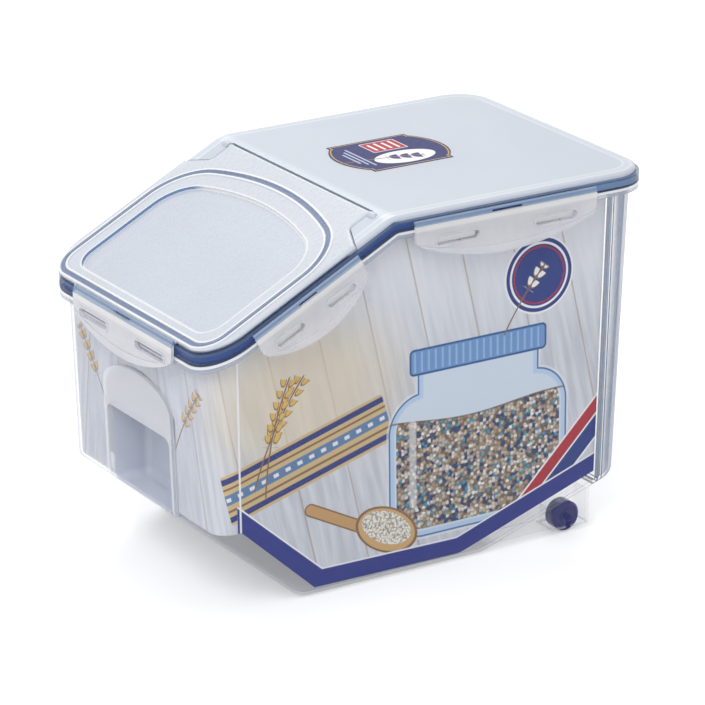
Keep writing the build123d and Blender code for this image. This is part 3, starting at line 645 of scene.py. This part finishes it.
def label_paper():
    """The lid's label: navy field, white border, a red block and a white oval."""
    finish = Finish("label_paper", NAVY, 0.3, Specular_IOR_Level=0.1)
    art = Print(finish, finish.x + 10 * MM, finish.y - 37.5 * MM, DEEP_NAVY)
    grain = finish.noise(240.0, 2.0)
    art.lay(grain.above(0.5, 0.2) * 0.25, NAVY)
    edge = (abs(art.across) - 29.5 * MM).most(abs(art.up) - 29.7 * MM)
    bow = art.disc(0.0, 0.0, 39.5 * MM).most(abs(art.across) - 25.5 * MM)
    edge = edge.least(bow)
    art.lay(edge.between(-2.0 * MM, -1.1 * MM), paint("#C9A24B"))
    block = art.block(-14 * MM, 4 * MM, 10 * MM, 13 * MM, 1 * MM)
    art.outlined(block, RED, WHITE, 0.7 * MM)
    for row in range(4):
        bar = art.block(-14 * MM, (12 - 5.4 * row) * MM, (7.5 - row % 2) * MM, 0.9 * MM, 0.9 * MM)
        art.lay(bar.below(0.0), WHITE)
    oval = art.oval(12 * MM, 4 * MM, 12 * MM, 22 * MM)
    art.lay(oval.below(0.0), WHITE)
    lay_ear(art, 9 * MM, -7 * MM, 78.0, 24 * MM, 2.6 * MM, NAVY)
    for row in range(3):
        bar = art.block(0.0, (-22 - 3.4 * row) * MM, (19 - 4 * row) * MM, 0.7 * MM, 0.7 * MM)
        art.lay(bar.below(0.0), paint("#B9C4DC"))
    finish.set("Base Color", art.tone)
    finish.set("Roughness", finish.mottle(0.22, 0.34, 300.0))
    finish.bump(finish.noise(600.0), 0.05 * MM, 0.15)
    return finish.material


FINISHES = {
    "clear_plastic": clear_plastic(),
    "frosted_plastic": frosted_plastic(),
    "flip_plastic": flip_plastic(),
    "latch_plastic": latch_plastic(),
    "navy_silicone": silicone("navy_silicone", paint("#31488F"), paint("#283D80")),
    "blue_silicone": silicone("blue_silicone", paint("#5F7FB4"), paint("#5272AA")),
    "wheel_plastic": wheel_plastic(),
    "printed_card": printed_card(),
    "label_paper": label_paper(),
}

for part in frame["record"]["subparts"]:
    solid = frame["nodes"][part["node"]]
    solid.data.materials.clear()
    solid.data.materials.append(FINISHES[part["material_slot"]])

# ---- floor, light and camera ---------------------------------------------------

CAMERA_TARGET = Vector((0.0, 0.0, 0.1137))
CAMERA_AZIMUTH = math.radians(57.85)
CAMERA_ELEVATION = math.radians(20.11)
CAMERA_DISTANCE = 2.6453
CAMERA_LENS = 208.65
CAMERA_SHIFT = (0.0057, 0.01137)
ROOM_LIGHT = 0.72
FLOOR_GLOW = 0.32


def add_camera():
    across = math.cos(CAMERA_ELEVATION)
    back = Vector((
        math.sin(CAMERA_AZIMUTH) * across,
        -math.cos(CAMERA_AZIMUTH) * across,
        math.sin(CAMERA_ELEVATION),
    ))
    lens = bpy.data.cameras.new("camera")
    lens.sensor_width = 36.0
    lens.lens = CAMERA_LENS
    lens.shift_x, lens.shift_y = CAMERA_SHIFT
    camera = bpy.data.objects.new("camera", lens)
    camera.location = CAMERA_TARGET + back * CAMERA_DISTANCE
    camera.rotation_mode = "QUATERNION"
    camera.rotation_quaternion = (-back).to_track_quat("-Z", "Y")
    bpy.context.scene.collection.objects.link(camera)
    bpy.context.scene.camera = camera


def add_lamp(name, place, aim, size, watts, colour=(1, 1, 1)):
    light = bpy.data.lights.new(name, "AREA")
    light.shape = "RECTANGLE"
    light.size, light.size_y = size
    light.energy = watts
    light.color = colour
    lamp = bpy.data.objects.new(name, light)
    lamp.location = place
    lamp.rotation_mode = "QUATERNION"
    lamp.rotation_quaternion = (Vector(aim) - Vector(place)).to_track_quat("-Z", "Y")
    bpy.context.scene.collection.objects.link(lamp)


def seen_directly(tree):
    """1 for rays from the camera, in reflections and through clear plastic."""
    path = tree.nodes.new("ShaderNodeLightPath")
    total = path.outputs["Is Camera Ray"]
    for kind in ("Is Glossy Ray", "Is Transmission Ray"):
        join = tree.nodes.new("ShaderNodeMath")
        join.operation = "MAXIMUM"
        tree.links.new(total, join.inputs[0])
        tree.links.new(path.outputs[kind], join.inputs[1])
        total = join.outputs[0]
    return total


def add_room():
    """White surroundings: they look white, and light the bin more softly than that."""
    world = bpy.data.worlds.new("room")
    bpy.context.scene.world = world
    world.use_nodes = True
    tree = world.node_tree
    shade = tree.nodes["Background"]
    shade.inputs["Color"].default_value = (1.0, 1.0, 1.0, 1.0)
    level = tree.nodes.new("ShaderNodeMapRange")
    level.inputs["To Min"].default_value = ROOM_LIGHT
    level.inputs["To Max"].default_value = 1.0
    tree.links.new(seen_directly(tree), level.inputs["Value"])
    tree.links.new(level.outputs[0], shade.inputs["Strength"])


def add_floor():
    bpy.ops.mesh.primitive_plane_add(size=40.0, location=(0, 0, -0.3 * MM))
    floor = bpy.context.object
    floor.name = "floor"
    finish = Finish("pale_floor", (0.86, 0.86, 0.87), 0.6)
    finish.set("Emission Color", (1.0, 1.0, 1.0))
    glow = Reading(finish, seen_directly(finish.tree)) * FLOOR_GLOW
    finish.set("Emission Strength", glow)
    floor.data.materials.append(finish.material)


add_camera()
add_room()
add_floor()
add_lamp("key", (1.2, -1.6, 2.2), (0, 0, 0.12), (1.2, 1.2), 28.0)
add_lamp("rim", (-1.6, 0.6, 1.8), (0, 0, 0.15), (1.0, 1.0), 14.0)

scene = bpy.context.scene
scene.view_settings.view_transform = "Standard"
scene.cycles.transparent_max_bounces = 32
